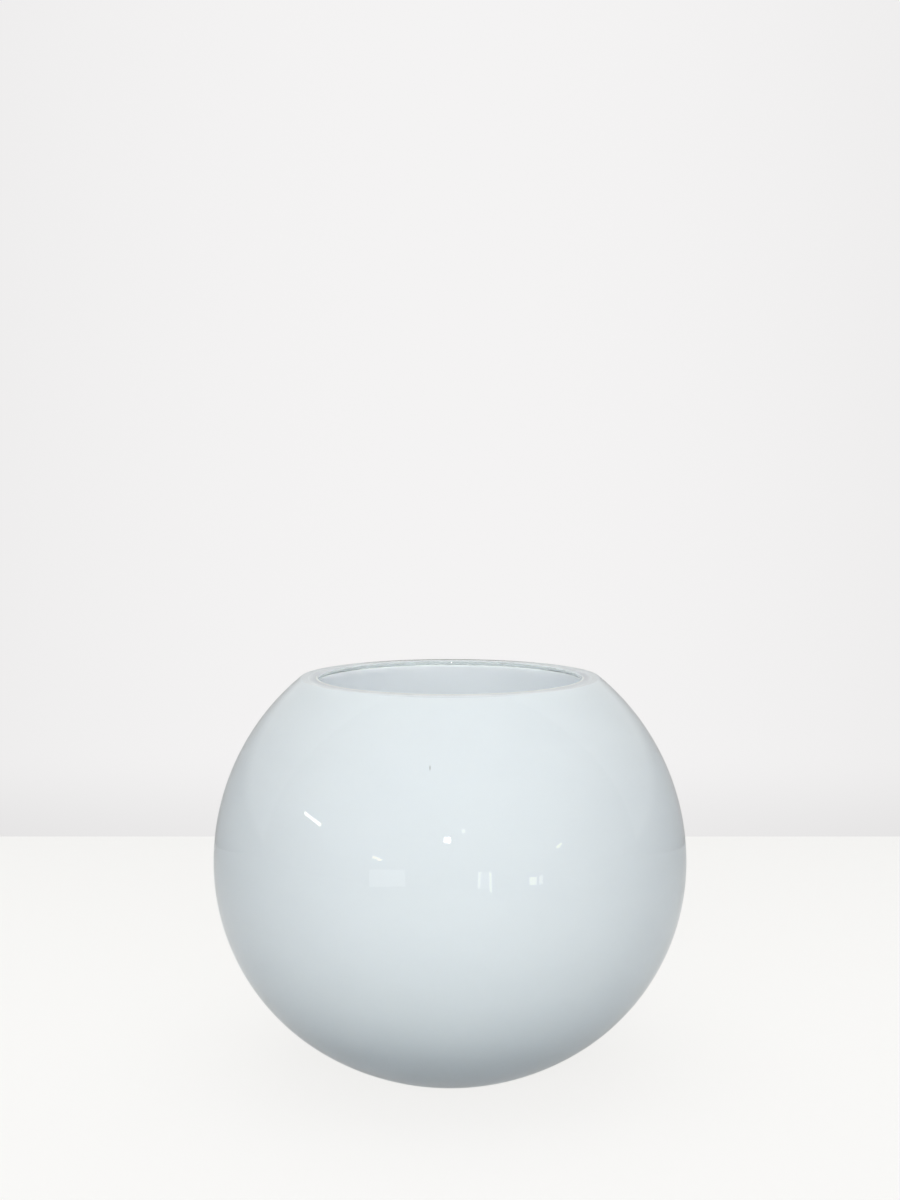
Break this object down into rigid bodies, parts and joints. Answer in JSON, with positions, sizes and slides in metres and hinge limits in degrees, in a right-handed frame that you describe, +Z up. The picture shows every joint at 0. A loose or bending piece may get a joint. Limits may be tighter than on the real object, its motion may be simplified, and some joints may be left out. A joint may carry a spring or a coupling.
{
  "type": "globe vase",
  "caption": "Round, wide-mouthed globe vase of cased glass: a pale blue-white opal layer inside thick clear glass, with a flat softened lip and a flat ground base.",
  "frame": {"origin": "middle of the flat ground base, on the surface the vase stands on", "axes": "+Z up the axis of turning, out of the mouth; X and Y alike, because the vase is round"},
  "size_m": [0.2, 0.2, 0.1654],
  "materials": {
    "clear_glass": "clear soda glass, fire polished, softened at the ground lip and base",
    "opal_glass": "opaque pale blue-white opal glass, smooth and glossy"
  },
  "bodies": {
    "root": {"clear_casing": "clear_glass", "opal_lining": "opal_glass"}
  },
  "joints": []
}
